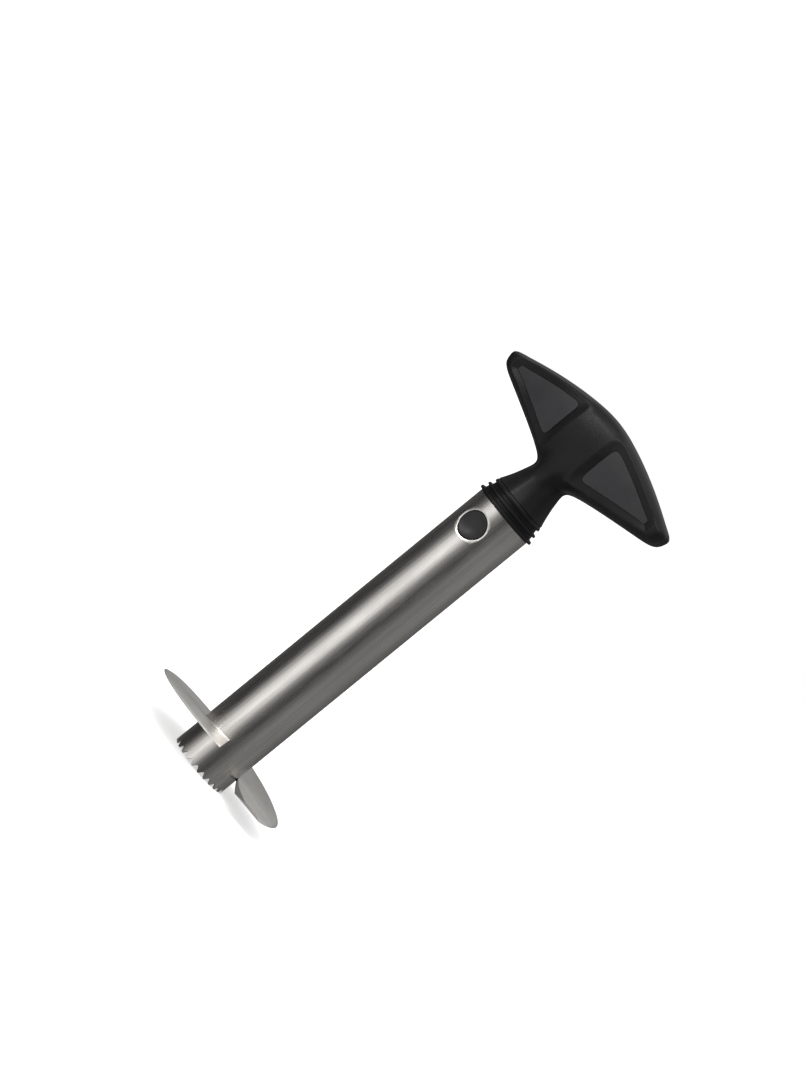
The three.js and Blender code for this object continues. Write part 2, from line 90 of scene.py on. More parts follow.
def discard(piece):
    clearSelection()
    bpy.data.objects.remove(piece, do_unlink=True)


def nameIt(name):
    piece = bpy.context.object
    piece.name = name
    piece.data.name = name
    return piece


def place(element):
    # the middle of a vertex, face or edge
    if hasattr(element, "co"):
        return element.co
    if hasattr(element, "calc_center_median"):
        return element.calc_center_median()
    return (element.verts[0].co + element.verts[1].co) / 2


def pick(piece, kind, test):
    # selects the verts, edges or faces of the mesh being edited that pass the test
    mode = {"verts": "VERT", "edges": "EDGE", "faces": "FACE"}[kind]
    bpy.ops.mesh.select_mode(type=mode)
    bpy.ops.mesh.select_all(action="DESELECT")
    mesh = bmesh.from_edit_mesh(piece.data)
    mesh.normal_update()
    for element in [element for element in getattr(mesh, kind) if test(element)]:
        element.select_set(True)
    mesh.select_flush_mode()
    bmesh.update_edit_mesh(piece.data)


def pickOpenEdges(piece):
    pick(piece, "edges", lambda e: len(e.link_faces) < 2)


def fillFace():
    bpy.ops.mesh.edge_face_add()


def move(x=0, y=0, z=0):
    bpy.ops.transform.translate(value=(x, y, z))


def resize(x, y, z, centre):
    bpy.ops.transform.resize(value=(x, y, z), center_override=centre)


def rotate(angle, axis="Z", centre=(0, 0, 0)):
    bpy.ops.transform.rotate(value=angle, orient_axis=axis, center_override=centre)


def extrude(x=0, y=0, z=0):
    bpy.ops.mesh.extrude_region_move(TRANSFORM_OT_translate={"value": (x, y, z)})


def bevel(width, segments):
    bpy.ops.mesh.bevel(offset=width, segments=segments, affect="EDGES", clamp_overlap=False)


def bisect(point, normal, **options):
    selectAll()
    bpy.ops.mesh.bisect(plane_co=point, plane_no=normal, **options)


def assignSlot(piece, number):
    piece.active_material_index = number
    bpy.ops.object.material_slot_assign()


def tidyNormals(distance=hair / 5):
    selectAll()
    bpy.ops.mesh.remove_doubles(threshold=distance)
    bpy.ops.mesh.normals_make_consistent(inside=False)


def applyModifier(piece, kind, **settings):
    selectOnly(piece)
    modifier = piece.modifiers.new(kind.title(), kind)
    for setting, value in settings.items():
        setattr(modifier, setting, value)
    bpy.ops.object.modifier_apply(modifier=modifier.name)


def thicken(piece, wall):
    applyModifier(piece, "SOLIDIFY", thickness=wall * mm, offset=-1)


def rollUp(piece, angle):
    applyModifier(piece, "SIMPLE_DEFORM", deform_method="BEND", deform_axis="Z", angle=angle)


def wind(piece, axis, angle, rise, steps):
    # draws an outline along a helix
    applyModifier(piece, "SCREW", axis=axis, angle=angle, steps=steps, render_steps=steps, screw_offset=rise,
                  use_merge_vertices=False, use_smooth_shade=False)


def placeInMesh(piece):
    selectOnly(piece)
    bpy.ops.object.transform_apply(location=True, rotation=True, scale=True)


def copyOf(piece, name):
    twin = piece.copy()
    twin.data = piece.data.copy()
    twin.name = name
    twin.data.name = name
    bpy.context.collection.objects.link(twin)
    return twin


def cutWith(piece, tool, operation="DIFFERENCE"):
    applyModifier(piece, "BOOLEAN", object=tool, operation=operation, solver="EXACT")
    discard(tool)


def drawOutline(name, points, closed=True):
    # an outline drawn point by point, by extruding one corner after another
    clearSelection()
    bpy.ops.mesh.primitive_plane_add(size=mm)
    piece = nameIt(name)
    bpy.ops.object.mode_set(mode="EDIT")
    bpy.ops.mesh.select_mode(type="VERT")
    selectAll()
    bpy.ops.mesh.merge(type="CENTER")
    bpy.ops.transform.translate(value=points[0])
    for before, after in zip(points, points[1:]):
        extrude(*(Vector(after) - Vector(before)))
    if closed:
        ends = (Vector(points[0]), Vector(points[-1]))
        pick(piece, "verts", lambda v: min((v.co - end).length for end in ends) < hair / 10)
        fillFace()
    return piece


def turnOutline(name, points, steps, axis=(0, 0, 1), closed=True):
    # turns an outline once round an axis, as on a lathe
    piece = drawOutline(name, points, closed)
    selectAll()
    bpy.ops.mesh.spin(steps=steps, angle=turn, center=(0, 0, 0), axis=axis)
    tidyNormals()
    objectMode()
    return piece


def heightOf(node):
    # the height of a CAD node's middle
    low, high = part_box(node)
    return (low.z + high.z) / 2


def settle(piece, material, body, node, smoothAngle=32):
    # smooths a finished piece, gives it its material and its body, and hides the CAD node it stands for
    placeInMesh(piece)
    bpy.ops.object.shade_smooth_by_angle(angle=math.radians(smoothAngle))
    if not piece.data.materials:
        piece.data.materials.append(material)
    else:
        piece.data.materials[0] = material
    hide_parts(node)
    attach(piece, body)


# Camera: the picture's view, with the tube lying up to the right

camera = {
    "azimuth": 24.5, "elevation": 4, "distance": 1650,
    "tubeTilt": 39.34,                 # the tube's axis above the picture's horizontal
    "tubeFoot": (198.8, 765.9),        # pixels: where the middle of the toothed end lies
    "pixelsPerMillimetre": 2.194,
    "picture": (804, 1072), "sensor": 36,
}


def makeCamera():
    azimuth = math.radians(camera["azimuth"])
    elevation = math.radians(camera["elevation"])
    tilt = math.radians(camera["tubeTilt"])
    level = Vector((math.cos(azimuth), math.sin(azimuth), 0))
    back = Vector((math.sin(azimuth) * math.cos(elevation), -math.cos(azimuth) * math.cos(elevation),
                   math.sin(elevation)))
    upright = back.cross(level)
    right = math.cos(tilt) * upright + math.sin(tilt) * level
    above = math.sin(tilt) * upright - math.cos(tilt) * level
    wide, high = camera["picture"]
    footX, footY = camera["tubeFoot"]
    scale = camera["pixelsPerMillimetre"]
    middle = right * (wide / 2 - footX) / scale * mm + above * (footY - high / 2) / scale * mm
    distance = camera["distance"] * mm
    data = bpy.data.cameras.new("pictureCamera")
    data.sensor_width = camera["sensor"]
    data.lens = camera["sensor"] * scale * camera["distance"] / high
    seen = bpy.data.objects.new("pictureCamera", data)
    bpy.context.collection.objects.link(seen)
    turned = Matrix((right, above, back)).transposed().to_4x4()
    seen.matrix_world = Matrix.Translation(middle + back * distance) @ turned
    bpy.context.scene.camera = seen


makeCamera()
print("camera in place")


# Materials

def startMaterial(name, color, roughness, metallic=0.0, **sockets):
    material = bpy.data.materials.new(name)
    material.use_nodes = True
    shader = material.node_tree.nodes["Principled BSDF"]
    shader.inputs["Base Color"].default_value = (*color, 1)
    shader.inputs["Roughness"].default_value = roughness
    shader.inputs["Metallic"].default_value = metallic
    for socket, value in sockets.items():
        shader.inputs[socket].default_value = value
    return material, shader


def shaderNode(tree, kind, **settings):
    # a new node in a material or the world, with its settings and the values of its sockets
    made = tree.nodes.new(kind)
    for name, value in settings.items():
        if hasattr(made, name):
            setattr(made, name, value)
        else:
            made.inputs[name].default_value = value
    return made


def mapRange(tree, fromLow, fromHigh, low, high, **settings):
    limits = {"From Min": fromLow, "From Max": fromHigh, "To Min": low, "To Max": high}
    return shaderNode(tree, "ShaderNodeMapRange", **limits, **settings)


def link(source, target):
    target.id_data.links.new(source, target)


def noiseField(shader, scale, stretch=(1, 1, 1), detail=2, roughness=0.55):
    # noise on object coordinates: scale is in lumps per metre, and stretch thins it along an axis
    tree = shader.id_data
    coordinates = shaderNode(tree, "ShaderNodeTexCoord")
    mapping = shaderNode(tree, "ShaderNodeMapping", Scale=stretch)
    noise = shaderNode(tree, "ShaderNodeTexNoise", Scale=scale, Detail=detail, Roughness=roughness)
    link(coordinates.outputs["Object"], mapping.inputs["Vector"])
    link(mapping.outputs["Vector"], noise.inputs["Vector"])
    return noise.outputs["Fac"]


def spread(field, low, high, fromLow=0.3, fromHigh=0.7):
    # turns a field's middle range into values from low to high
    ranged = mapRange(field.id_data, fromLow, fromHigh, low, high)
    link(field, ranged.inputs["Value"])
    return ranged.outputs["Result"]


def blendColors(field, first, second):
    mix = shaderNode(field.id_data, "ShaderNodeMix", data_type="RGBA")
    colors = [socket for socket in mix.inputs if socket.type == "RGBA"]
    colors[0].default_value = (*first, 1)
    colors[1].default_value = (*second, 1)
    link(field, mix.inputs["Factor"])
    return [socket for socket in mix.outputs if socket.type == "RGBA"][0]


def combine(operation, first, second):
    made = shaderNode(first.id_data, "ShaderNodeMath", operation=operation)
    link(first, made.inputs[0])
    link(second, made.inputs[1])
    return made.outputs[0]


def bump(shader, height, depth, strength):
    made = shaderNode(shader.id_data, "ShaderNodeBump", Strength=strength, Distance=depth)
    link(height, made.inputs["Height"])
    link(made.outputs["Normal"], shader.inputs["Normal"])


# Studio: a white sweep to the eye, and a ring of soft boxes and dark gaps for the steel to mirror

studio = {
    # light met at each angle to the right of the camera, all round the slicer
    "ring": ((-180, 0.13), (-118, 0.05), (-95, 0.04), (-80, 0.16), (-66, 0.60), (-46, 1.4), (-31, 1.4),
             (-18, 0.42), (0, 0.11), (20, 0.05), (42, 0.24), (95, 0.27), (135, 0.15), (180, 0.13)),
    "overhead": 0.9, "backdrop": 1.0,
    # lights and floor have their lengths in metres, and a light's angle is to the right of the camera
    "strip": {"angle": -56, "distance": 1.1, "height": 0.8, "size": (0.1, 0.75), "power": 3.2},
    "softbox": {"angle": -30, "distance": 0.9, "height": 1.5, "size": (1.2, 1.2), "power": 12},
    "floor": {"size": 30, "drop": 0.0001, "color": (0.8, 0.8, 0.795), "roughLow": 0.66, "roughHigh": 0.74,
              "lumps": 3, "glow": 0.6},
}


def makeWorld():
    world = bpy.data.worlds.new("studioRing")
    world.use_nodes = True
    bpy.context.scene.world = world
    tree = world.node_tree
    tree.nodes.clear()
    direction = shaderNode(tree, "ShaderNodeTexCoord")
    toCamera = shaderNode(tree, "ShaderNodeVectorRotate", rotation_type="Z_AXIS",
                          Angle=-math.radians(camera["azimuth"]))
    parts = shaderNode(tree, "ShaderNodeSeparateXYZ")
    away = shaderNode(tree, "ShaderNodeMath", operation="MULTIPLY")
    away.inputs[1].default_value = -1
    angle = shaderNode(tree, "ShaderNodeMath", operation="ARCTAN2")
    share = mapRange(tree, -turn / 2, turn / 2, 0, 1)
    ring = shaderNode(tree, "ShaderNodeValToRGB")
    stops = ring.color_ramp.elements
    for i, (degrees, glow) in enumerate(studio["ring"]):
        stop = stops[i] if i < 2 else stops.new(1)      # a new ramp has two stops already
        stop.position = (degrees + 180) / 360
        stop.color = (glow, glow, glow, 1)
    upward = mapRange(tree, 0, 1, 0, studio["overhead"], interpolation_type="SMOOTHSTEP")
    total = shaderNode(tree, "ShaderNodeMath", operation="ADD")
    light = shaderNode(tree, "ShaderNodeBackground")
    white = shaderNode(tree, "ShaderNodeBackground", Strength=studio["backdrop"], Color=(1, 1, 1, 1))
    rays = shaderNode(tree, "ShaderNodeLightPath")
    mix = shaderNode(tree, "ShaderNodeMixShader")
    output = shaderNode(tree, "ShaderNodeOutputWorld")
    for source, target in (
        (direction.outputs["Generated"], toCamera.inputs["Vector"]),
        (toCamera.outputs["Vector"], parts.inputs["Vector"]), (parts.outputs["Y"], away.inputs[0]),
        (parts.outputs["X"], angle.inputs[0]), (away.outputs[0], angle.inputs[1]),
        (angle.outputs[0], share.inputs["Value"]), (share.outputs["Result"], ring.inputs["Fac"]),
        (parts.outputs["Z"], upward.inputs["Value"]), (ring.outputs["Color"], total.inputs[0]),
        (upward.outputs["Result"], total.inputs[1]), (total.outputs[0], light.inputs["Color"]),
        (rays.outputs["Is Camera Ray"], mix.inputs["Fac"]), (light.outputs["Background"], mix.inputs[1]),
        (white.outputs["Background"], mix.inputs[2]), (mix.outputs["Shader"], output.inputs["Surface"]),
    ):
        link(source, target)


def makeLight(name):
    setting = studio[name]
    data = bpy.data.lights.new(name, "AREA")
    data.shape = "RECTANGLE"
    data.size, data.size_y = setting["size"]
    data.energy = setting["power"]
    lamp = bpy.data.objects.new(name, data)
    bpy.context.collection.objects.link(lamp)
    angle = math.radians(camera["azimuth"] + setting["angle"])
    away = setting["distance"]
    spot = Vector((math.sin(angle) * away, -math.cos(angle) * away, setting["height"]))
    aim = Vector((0, 0, tubeTop / 2)) - spot
    lamp.location = spot
    lamp.rotation_euler = aim.to_track_quat("-Z", "Y").to_euler()


def makeFloor():
    setting = studio["floor"]
    clearSelection()
    bpy.ops.mesh.primitive_plane_add(size=setting["size"], location=(0, 0, -setting["drop"]))
    floor = nameIt("paleFloor")
    placeInMesh(floor)
    glow = {"Emission Color": (1, 1, 1, 1), "Emission Strength": setting["glow"]}
    material, shader = startMaterial("palePaint", setting["color"], setting["roughLow"], **glow)
    mottle = noiseField(shader, setting["lumps"], detail=3)
    rough = spread(mottle, setting["roughLow"], setting["roughHigh"])
    link(rough, shader.inputs["Roughness"])
    floor.data.materials.append(material)
    floor.visible_glossy = False


makeWorld()
makeLight("strip")
makeLight("softbox")
makeFloor()
bpy.context.scene.view_settings.view_transform = "Standard"
print("studio lit")


steelFinish = {
    "light": (0.66, 0.64, 0.61), "dark": (0.52, 0.505, 0.48),
    "grainLines": 5200, "grainStretch": 0.012, "grainDepth": 0.010, "grainStrength": 0.5, "wideLineWidth": 9,
    "smudges": 55, "smudgeStretch": (1, 1, 0.5), "smudgeDetail": 5, "smudgeFine": 0.6,
    "toneFrom": 0.75, "toneTo": 1.25, "roughLow": 0.17, "roughHigh": 0.31, "smudgeRough": (0.92, 1.3),
}


def makeSteel(name, direction, **changes):
    # satin steel whose polishing lines run along one axis: 0 is X, 1 is Y and 2 is Z
    finish = {**steelFinish, **changes}
    material, shader = startMaterial(name, finish["light"], finish["roughLow"], 1.0)
    stretch = [1, 1, 1]
    stretch[direction] = finish["grainStretch"]
    lines = noiseField(shader, finish["grainLines"], stretch, detail=3)
    wideLines = noiseField(shader, finish["grainLines"] / finish["wideLineWidth"], stretch)
    smudges = noiseField(shader, finish["smudges"], finish["smudgeStretch"], finish["smudgeDetail"],
                         finish["smudgeFine"])
    stains = combine("ADD", wideLines, smudges)
    tone = spread(stains, 0, 1, finish["toneFrom"], finish["toneTo"])
    link(blendColors(tone, finish["light"], finish["dark"]), shader.inputs["Base Color"])
    lineShare = spread(lines, finish["roughLow"], finish["roughHigh"])
    smudgeShare = spread(smudges, *finish["smudgeRough"])
    link(combine("MULTIPLY", lineShare, smudgeShare), shader.inputs["Roughness"])
    ridges = combine("ADD", lines, wideLines)
    bump(shader, ridges, finish["grainDepth"] * mm, finish["grainStrength"])
    return material


plasticFinish = {
    "black": (0.0045, 0.0045, 0.005), "worn": (0.0075, 0.0075, 0.008), "shine": 0.1,
    "grain": 2600, "grainDepth": 0.012, "grainStrength": 0.6, "roughLow": 0.24, "roughHigh": 0.36,
    "patches": 70, "patchDetail": 5, "patchFine": 0.65,
    "scratchStretch": (0.04, 1, 0.5), "scratchFrom": 0.6, "scratchTo": 0.75, "scratchRough": (0.95, 1.25),
}


def makePlastic(name, **changes):
    # moulded plastic with a fine spark-eroded grain, handled unevenly
    finish = {**plasticFinish, **changes}
    material, shader = startMaterial(name, finish["black"], finish["roughLow"],
                                     **{"Specular IOR Level": finish["shine"]})
    grain = noiseField(shader, finish["grain"])
    patches = noiseField(shader, finish["patches"], (1, 1, 1), finish["patchDetail"], finish["patchFine"])
    scratches = noiseField(shader, finish["grain"] / 2, finish["scratchStretch"])
    tone = spread(patches, 0, 1)
    link(blendColors(tone, finish["black"], finish["worn"]), shader.inputs["Base Color"])
    rough = spread(patches, finish["roughLow"], finish["roughHigh"])
    scuffs = spread(scratches, *finish["scratchRough"], finish["scratchFrom"], finish["scratchTo"])
    link(combine("MULTIPLY", rough, scuffs), shader.inputs["Roughness"])
    bump(shader, grain, finish["grainDepth"] * mm, finish["grainStrength"])
    return material


tubeSteel = makeSteel("tubeSteel", 2)
bladeSteel = makeSteel("bladeSteel", 0, roughLow=0.26, roughHigh=0.4, grainLines=4200)
# the ground facet's steel has a painted dark reflection: its colour is painted far darker than the blade's steel
groundSteel = makeSteel("groundSteel", 1, light=(0.26, 0.255, 0.235), dark=(0.17, 0.165, 0.15),
                        roughLow=0.2, roughHigh=0.34, grainLines=7000)
screwSteel = makeSteel("screwSteel", 0, light=(0.74, 0.75, 0.77), dark=(0.62, 0.63, 0.65), smudges=300,
                       roughLow=0.2, roughHigh=0.3)
springSteel = makeSteel("springSteel", 1, light=(0.7, 0.7, 0.71), dark=(0.56, 0.56, 0.57), smudges=260)
shellPlastic = makePlastic("shellPlastic")
collarPlastic = makePlastic("collarPlastic", roughLow=0.3, roughHigh=0.44)
buttonPlastic = makePlastic("buttonPlastic", black=(0.013, 0.013, 0.013), worn=(0.021, 0.021, 0.0205),
                            roughLow=0.3, roughHigh=0.42, shine=0.15)
corePlastic = makePlastic("corePlastic", black=(0.032, 0.032, 0.034), worn=(0.045, 0.045, 0.047),
                          roughLow=0.5, roughHigh=0.62)
padRubber = makePlastic("padRubber", black=(0.012, 0.0115, 0.013), worn=(0.019, 0.0185, 0.02), grain=1900,
                        grainDepth=0.03, roughLow=0.46, roughHigh=0.58, shine=0.22)
print("materials mixed")


# Toothed tube: a flat sheet with its teeth and holes, rolled up

tube = {
    "teeth": 24, "toothDepth": 2.2, "toothLand": 0.7, "toothRoot": 0.5, "wall": 0.8,
    "holeDrop": 13, "holeRadius": 7.15, "holeStretch": 1.03, "holeRim": 0.16, "holeSlope": 0.3,
    "holeSegments": 5, "topRim": 0.2, "topSegments": 6,
    # the patch that each hole is drawn in, below the tube's top, and its rings towards the hole
    "patchTeeth": 3, "patchLow": 24.5, "patchHigh": 1.5, "patchRows": 12,
    "patchShares": (0, 0.13, 0.26, 0.38, 0.5, 0.61, 0.71, 0.795, 0.825, 1),
}


def makeTube():
    radius, length = tubeRadius, tubeTop - tubeLow.z
    width = turn * radius
    pitch = width / tube["teeth"]
    # one tooth's columns, for its land, slopes and root: their places as shares of the pitch, and their lifts
    land = tube["toothLand"] * mm / 2 / pitch
    root = 0.5 - tube["toothRoot"] * mm / 2 / pitch
    middle = (land + root) / 2
    phases = (0, land, middle, root, 0.5, 1 - root, 1 - middle, 1 - land)
    lifts = (0, 0, 0.5, 1, 1, 1, 0.5, 0)
    perTooth = len(phases)
    columns = perTooth * tube["teeth"]
    clearSelection()
    bpy.ops.mesh.primitive_grid_add(x_subdivisions=columns, y_subdivisions=1, size=1,
                                    rotation=(turn / 4, 0, 0))
    sheet = nameIt("toothedTube")
    placeInMesh(sheet)
    columnOf = [round((v.co.x + 0.5) * columns) % perTooth for v in sheet.data.vertices]
    edit(sheet)
    selectAll()
    resize(width, 1, length, (0, 0, 0))
    move(z=length / 2)
    for column, (phase, lift) in enumerate(zip(phases, lifts)):
        pick(sheet, "verts", lambda v: columnOf[v.index] == column)
        move(x=(phase - column / perTooth) * pitch)
        pick(sheet, "verts", lambda v: columnOf[v.index] == column and v.co.z < length / 2)
        move(z=lift * tube["toothDepth"] * mm)
    holeHeight = length - tube["holeDrop"] * mm
    patchLow, patchHigh = length - tube["patchLow"] * mm, length - tube["patchHigh"] * mm
    rows = [patchLow + (patchHigh - patchLow) * i / tube["patchRows"] for i in range(tube["patchRows"] + 1)]
    for height in (2 * tube["toothDepth"] * mm, *rows):
        bisect((0, 0, height), (0, 0, 1))
    reach = tube["patchTeeth"] * pitch + hair
    shares = tube["patchShares"]
    holeRadius = tube["holeRadius"] * mm

    def inPatch(element, across):
        p = place(element)
        return abs(p.x - across) < reach and patchLow - hair < p.z < patchHigh + hair

    for side in (-1, 1):
        across = side * width / 4
        centre = Vector((across, 0, holeHeight))
        pick(sheet, "faces", lambda f: inPatch(f, across))
        bpy.ops.mesh.delete(type="FACE")
        pick(sheet, "edges", lambda e: len(e.link_faces) < 2 and inPatch(e, across))
        border = [v.co for v in bmesh.from_edit_mesh(sheet.data).verts if v.select]
        mean = sum((spot - centre).length for spot in border) / len(border)
        # rings drawn in from the patch's border, each rounder than the one before
        for last, share in zip(shares, shares[1:]):
            scale = (mean + (holeRadius - mean) * share) / (mean + (holeRadius - mean) * last)
            extrude()
            bpy.ops.transform.tosphere(value=1 - (1 - share) / (1 - last) / scale)
            resize(scale, 1, scale, centre)
        resize(tube["holeStretch"], 1, 1, centre)
    tidyNormals()
    objectMode()
    if sum(face.normal.y for face in sheet.data.polygons) > 0:
        edit(sheet)
        selectAll()
        bpy.ops.mesh.flip_normals()
    thicken(sheet, tube["wall"])
    edit(sheet)
    # the wall's two ends meet when it is rolled up, so they stay open
    pick(sheet, "faces", lambda f: all(abs(v.co.x) > width / 2 - hair for v in f.verts))
    bpy.ops.mesh.delete(type="ONLY_FACE")

    def onRim(edge):
        def near(v):
            across = abs(v.co.x) - width / 4
            out = math.hypot(across / tube["holeStretch"], v.co.z - holeHeight)
            return abs(out - holeRadius) < 3 * hair and v.co.y < hair
        return all(near(v) for v in edge.verts)

    pick(sheet, "edges", onRim)
    move(y=tube["holeSlope"] * mm)
    bevel(tube["holeRim"] * mm, tube["holeSegments"])
    pick(sheet, "edges", lambda e: all(v.co.z > length - hair for v in e.verts)
         and abs(e.verts[0].co.y - e.verts[1].co.y) < hair)
    bevel(tube["topRim"] * mm, tube["topSegments"])
    rollUp(sheet, turn)
    edit(sheet)
    tidyNormals(hair)
    move(y=-radius)
    rotate(turn / 4)
    settle(sheet, tubeSteel, "cutter", "core_tube", smoothAngle=18)
    print("tube rolled", len(sheet.data.polygons), "faces")


makeTube()


# Spiral blade: one section of the sheet, wound up round the tube, with its leading corner ground off

blade = {
    "radius": 44, "thickness": 1, "pitch": 12.5, "leadHeight": 8, "leadAngle": 332, "trailAngle": 653,
    "edgeWidth": 2.2, "edgeThickness": 0.25, "edgeRound": 0.1, "step": 2,
    # the weld against the tube: how far it reaches in, its size, and its hollow as shares of that
    "tubeLap": 0.02, "weld": 0.75, "weldOutShare": 0.25, "weldUpShare": 0.35,
    # radius and angle of the points that the leading corner is cut and ground along
    "neck": (16.1, 374), "corner": (30, 335), "tip": (44, 350),
    "grindStart": (16.7, 373), "grindEnd": (34.9, 342),
    "lead": {"rise": 5.5, "fromX": 3, "toY": 7},      # the box that the leading end lies in
    "stone": {"lap": 4, "tuck": 1.5, "reach": 6, "thickness": 5, "facing": 0.999},
}


def bladeHeight(angle):
    return (blade["leadHeight"] + blade["pitch"] * (angle - blade["leadAngle"]) / 360) * mm


def bladePoint(radius, angle, above=0.0):
    radians, out = math.radians(angle), radius * mm
    return Vector((out * math.cos(radians), out * math.sin(radians), bladeHeight(angle) + above * mm))


def ahead(start, end):
    # level, and square to the way from start to end
    return (end - start).cross(Vector((0, 0, 1))).normalized()


def atLead(face):
    p, lead = place(face) / mm, blade["lead"]
    return p.z < blade["leadHeight"] + lead["rise"] and p.x > lead["fromX"] and p.y < lead["toY"]


def makeBlade():
    thick, weld, inner = blade["thickness"], blade["weld"], tubeRadius / mm - blade["tubeLap"]
    hollow, drop = inner + blade["weldOutShare"] * weld, blade["weldUpShare"] * weld
    rim, edge = blade["radius"], blade["radius"] - blade["edgeRound"]
    section = [
        (inner, -weld), (hollow, -drop), (inner + weld, 0), (rim - blade["edgeWidth"], 0), (edge, 0),
        (rim, blade["edgeThickness"] / 2), (edge, blade["edgeThickness"]), (rim - blade["edgeWidth"], thick),
        (inner + weld, thick), (hollow, thick + drop), (inner, thick + weld),
    ]
    sheet = drawOutline("spiralBlade", [(x * mm, 0, blade["leadHeight"] * mm + z * mm) for x, z in section])
    sweep = blade["trailAngle"] - blade["leadAngle"]
    wind(sheet, "Z", math.radians(sweep), blade["pitch"] * mm * sweep / 360, sweep // blade["step"])
    edit(sheet)
    pickOpenEdges(sheet)
    fillFace()
    objectMode()
    sheet.rotation_euler = (0, 0, math.radians(blade["leadAngle"]))
    placeInMesh(sheet)
    edit(sheet)
    tidyNormals()
    neck, corner, tip = (bladePoint(*blade[mark]) for mark in ("neck", "corner", "tip"))
    for point, away in ((neck, ahead(neck, corner)), (corner, ahead(corner, tip))):
        pick(sheet, "faces", atLead)
        bpy.ops.mesh.bisect(plane_co=point, plane_no=away, clear_outer=True, use_fill=True)
    tidyNormals()
    # the corner's ground facet, cut with a flat block
    neckTop, grindEnd = (bladePoint(*blade[mark], above=thick) for mark in ("grindStart", "grindEnd"))
    grind = (neckTop - corner).cross(grindEnd - corner).normalized()
    grind = -grind if grind.z < 0 else grind
    along = (grindEnd - neckTop).normalized()
    beside = (corner - neckTop) - (corner - neckTop).project(along)
    beside.normalize()
    lap, tuck, reach = (blade["stone"][size] for size in ("lap", "tuck", "reach"))
    block = [neckTop + lap * mm * ahead(neck, corner), neckTop, grindEnd - tuck * mm * beside,
             grindEnd + mm * (reach * along - tuck * beside), corner + mm * (reach * along + reach * beside),
             corner + reach * mm * beside]
    flat = [spot - grind * (spot - corner).dot(grind) for spot in block]
    stone = drawOutline("stone", flat)
    selectAll()
    fillFace()
    extrude(z=blade["stone"]["thickness"] * mm)
    tidyNormals()
    cutWith(sheet, stone)
    edit(sheet)
    # slot 1 goes to the ground facet, whose darker steel is a painted dark reflection
    sheet.data.materials.append(bladeSteel)
    sheet.data.materials.append(groundSteel)
    pick(sheet, "faces", lambda f: f.normal.dot(grind) > blade["stone"]["facing"]
         and abs((place(f) - corner).dot(grind)) < hair)
    assignSlot(sheet, 1)
    tidyNormals()
    settle(sheet, bladeSteel, "cutter", "spiral_blade")
    print("blade wound", len(sheet.data.polygons), "faces")


makeBlade()


# Ribbed collar on the tube's rim

collar = {
    "seat": 0.3, "height": 9.2,
    "ribs": ((17.35, 0.0, 1.35), (16.3, 3.55, 1.15), (15.2, 6.95, 1.25)),     # radius, height and thickness
    "groove": 2.05, "grooveMouthShare": 0.88, "grooveFloor": (0.5, 0.35), "ribLean": 0.1, "ribFoot": 0.2,
    "edge": 0.18, "bore": 10.8, "topInset": 0.7, "steps": 128,
}


def makeCollar():
    low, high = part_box("ribbed_collar")
    bottom = low.z / mm
    edge, bore = collar["edge"], collar["bore"]
    soft = cornerShare * edge
    above, below = collar["grooveFloor"]
    outline = [(bore, bottom)]
    ribs = collar["ribs"]
    for i, (radius, lift, thickness) in enumerate(ribs):
        base = bottom + lift
        outline += [(radius - edge, base), (radius - soft, base + soft), (radius, base + edge)]
        outline += [(radius - collar["ribLean"], base + thickness - edge), (radius - edge, base + thickness)]
        if i < len(ribs) - 1:
            floor, nextBase = radius - collar["groove"], bottom + ribs[i + 1][1]
            outline += [(radius - collar["groove"] * collar["grooveMouthShare"], base + thickness + above),
                        (floor, nextBase - below), (floor + collar["ribFoot"], nextBase)]
    top = high.z / mm
    outline += [(ribs[-1][0] - collar["topInset"], top), (bore, top)]
    ring = turnOutline("ribbedCollar", [(x * mm, 0, z * mm) for x, z in outline], collar["steps"])
    settle(ring, collarPlastic, "handle", "ribbed_collar", smoothAngle=28)
    print("collar turned")


makeCollar()


# Handle: one cage for the neck and both wings, smoothed, parted into a front and a rear shell

handle = {
    "halfSpan": 58.6, "crown": 66.5, "fall": 14.9, "fallPower": 1.6, "floor": 27.6, "rise": 15.7,
    "flareDrop": 5, "flareLength": 8, "halfDepth": 12.5, "tipHalfDepth": 7, "depthPower": 1.5,
    "squareness": 3.6, "sides": 16, "stations": (0, 6.5, 9.8, 17, 25, 33, 40, 47, 53.1, 56.9, 58.3),
    "tipRounding": 2.4, "tipPower": 3, "tipEnd": 0.98, "tipReach": 0.15, "cageGrowth": 1.026,
    "tipLean": {56.9: 13, 58.3: 19},     # degrees that the wing's end leans out towards its top
    "neckBase": 14.7, "neckWaist": 9.6, "neckRise": 30, "neckPower": 1.75,
    "neckLevels": (22, 18, 14.2, 11.2, 9.5),
    # the underside's faces that make way for the neck: how far below the wing's middle, and how they face
    "mouthDrop": 10, "mouthSlope": 0.72, "mouthFacing": 0.3, "mouthSmooth": 0.6,
    # the panels' rims and floors: margins from the wing's edge, and where each station's floor comes to lie
    "panel": (9.8, 53.1), "panelFacing": 0.35, "rimMargin": 2.7, "rimWidth": 0.4, "floorMargin": 6.2,
    "leastFloor": 1.5, "sink": 1.3,
    "floorStations": {9.8: 13.8, 17: 19.3, 25: 26, 33: 33, 40: 39.5, 47: 45.6, 53.1: 49.4},
    "padGap": 0.2, "padDepth": 1.5, "padProud": 0.15, "padEdge": 0.4, "padSegments": 3, "padEdgeAngle": 50,
    "rimCrease": 0.5, "floorCrease": 0.5, "wall": 2.2, "seam": 0.12, "seamBevel": 0.2, "levels": 3,
    "neckBoss": {"wall": 1.4, "start": 7.3, "rise": 1.9, "gap": 0.3, "shank": 1.5},
}


def wingTop(x):
    return handle["crown"] - handle["fall"] * (abs(x) / handle["halfSpan"]) ** handle["fallPower"]


